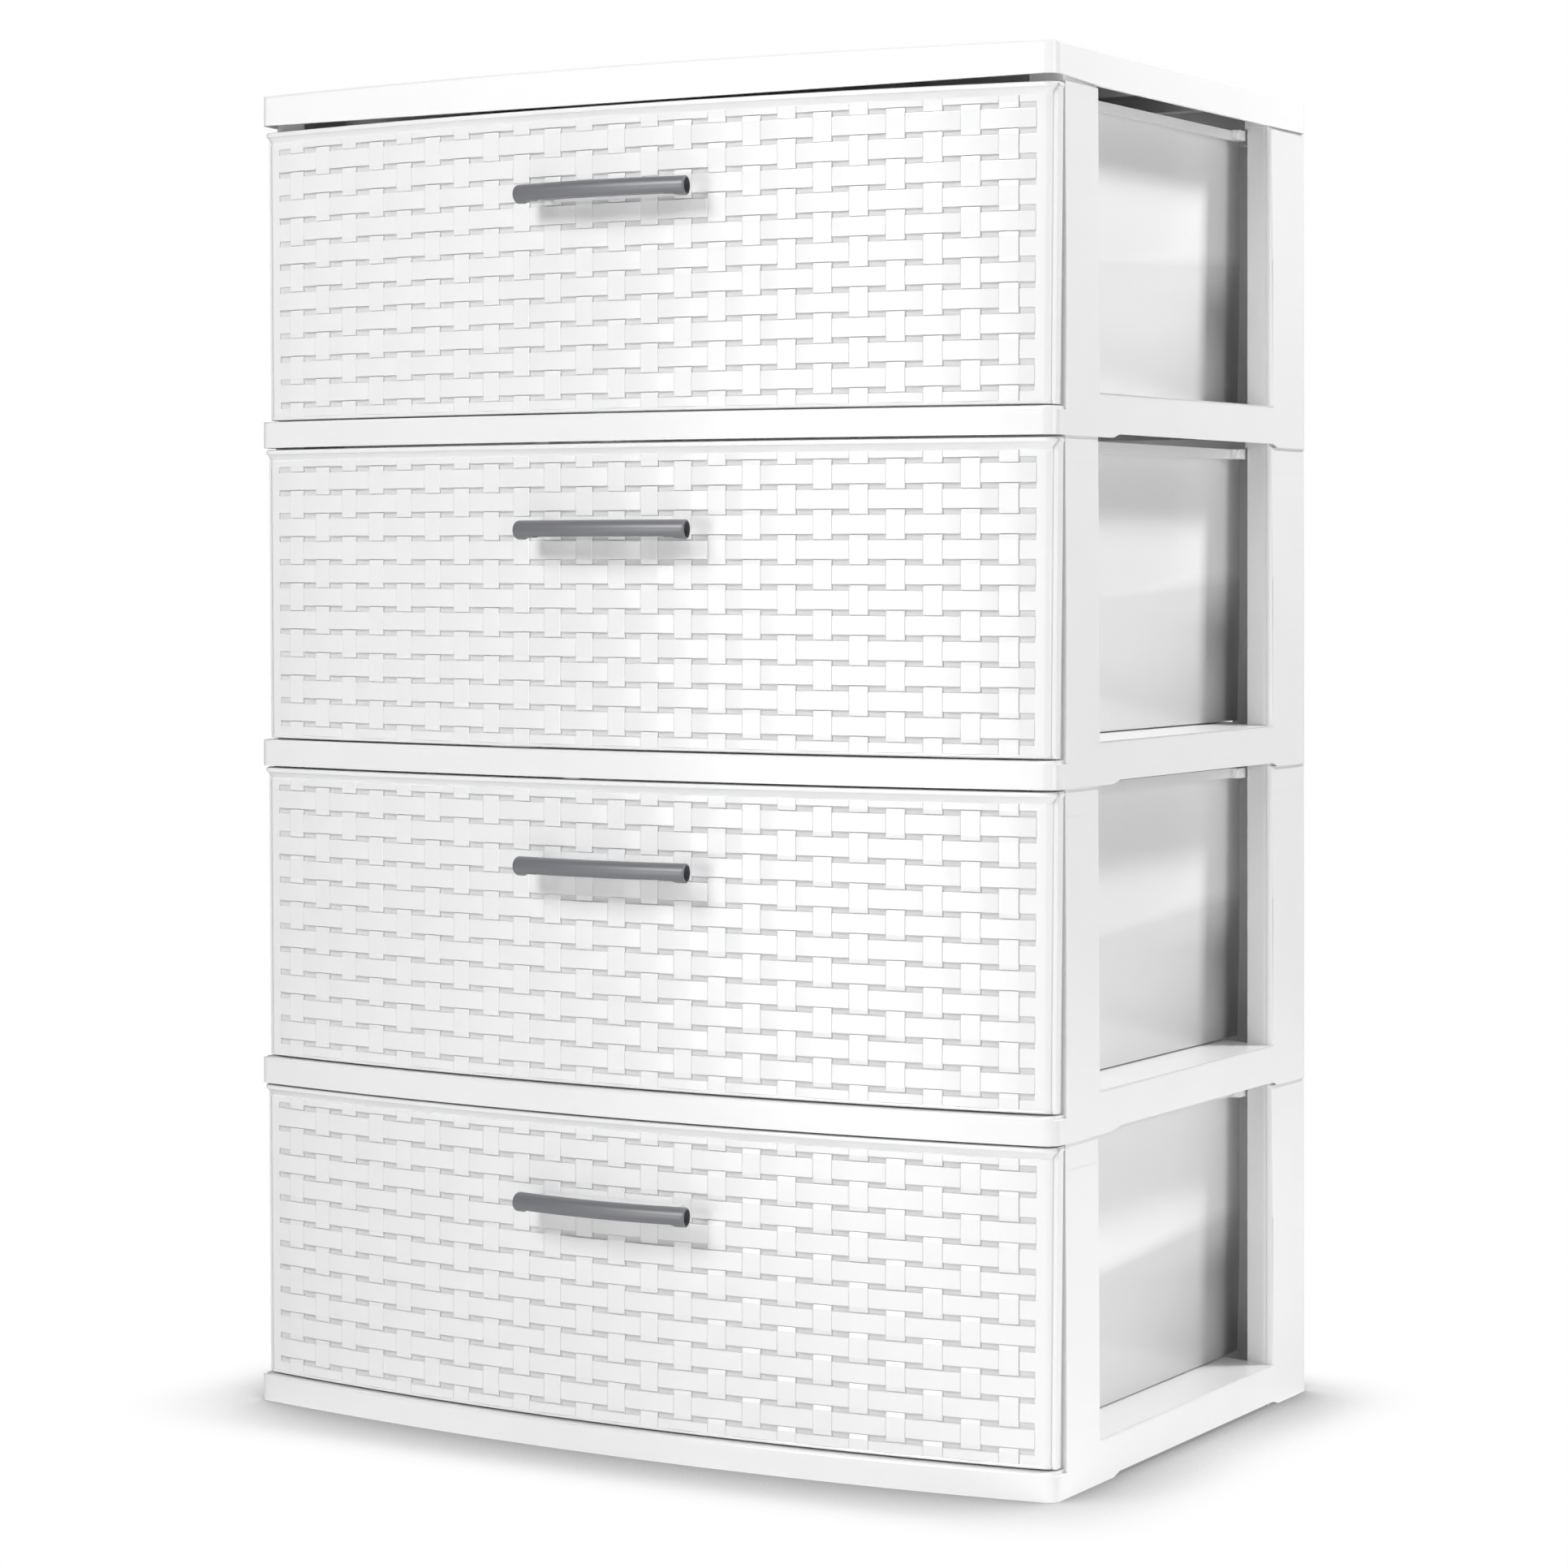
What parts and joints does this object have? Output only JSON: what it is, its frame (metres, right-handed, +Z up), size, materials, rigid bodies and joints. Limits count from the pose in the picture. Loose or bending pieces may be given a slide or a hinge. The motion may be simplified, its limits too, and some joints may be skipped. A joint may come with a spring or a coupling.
{
  "type": "drawer tower",
  "caption": "Wide stacking drawer tower in white moulded plastic: open-sided frame units, bowed drawer fronts with a basket-weave relief, and grey arched bar pulls.",
  "frame": {"origin": "centre of the bounding box's base, on the floor, drawers closed", "axes": "+Z up, -Y out of the drawer fronts, +X to the right as seen from the front"},
  "size_m": [0.556, 0.403, 0.816],
  "materials": {
    "white_plastic": "satin moulded polypropylene",
    "grey_plastic": "fine satin moulded plastic"
  },
  "bodies": {
    "tower": {"frame_unit_1": "white_plastic", "frame_unit_2": "white_plastic", "frame_unit_3": "white_plastic", "frame_unit_4": "white_plastic", "top_cover": "white_plastic"},
    "pull_out_1": {"drawer_1": "white_plastic", "handle_1": "grey_plastic"},
    "pull_out_2": {"drawer_2": "white_plastic", "handle_2": "grey_plastic"},
    "pull_out_3": {"drawer_3": "white_plastic", "handle_3": "grey_plastic"},
    "pull_out_4": {"drawer_4": "white_plastic", "handle_4": "grey_plastic"}
  },
  "joints": [
    {"name": "slide_1", "type": "slide", "parent": "tower", "child": "pull_out_1", "axis": [0, -1, 0], "range_m": [0, 0.2345]},
    {"name": "slide_2", "type": "slide", "parent": "tower", "child": "pull_out_2", "axis": [0, -1, 0], "range_m": [0, 0.2345]},
    {"name": "slide_3", "type": "slide", "parent": "tower", "child": "pull_out_3", "axis": [0, -1, 0], "range_m": [0, 0.2345]},
    {"name": "slide_4", "type": "slide", "parent": "tower", "child": "pull_out_4", "axis": [0, -1, 0], "range_m": [0, 0.2345]}
  ]
}
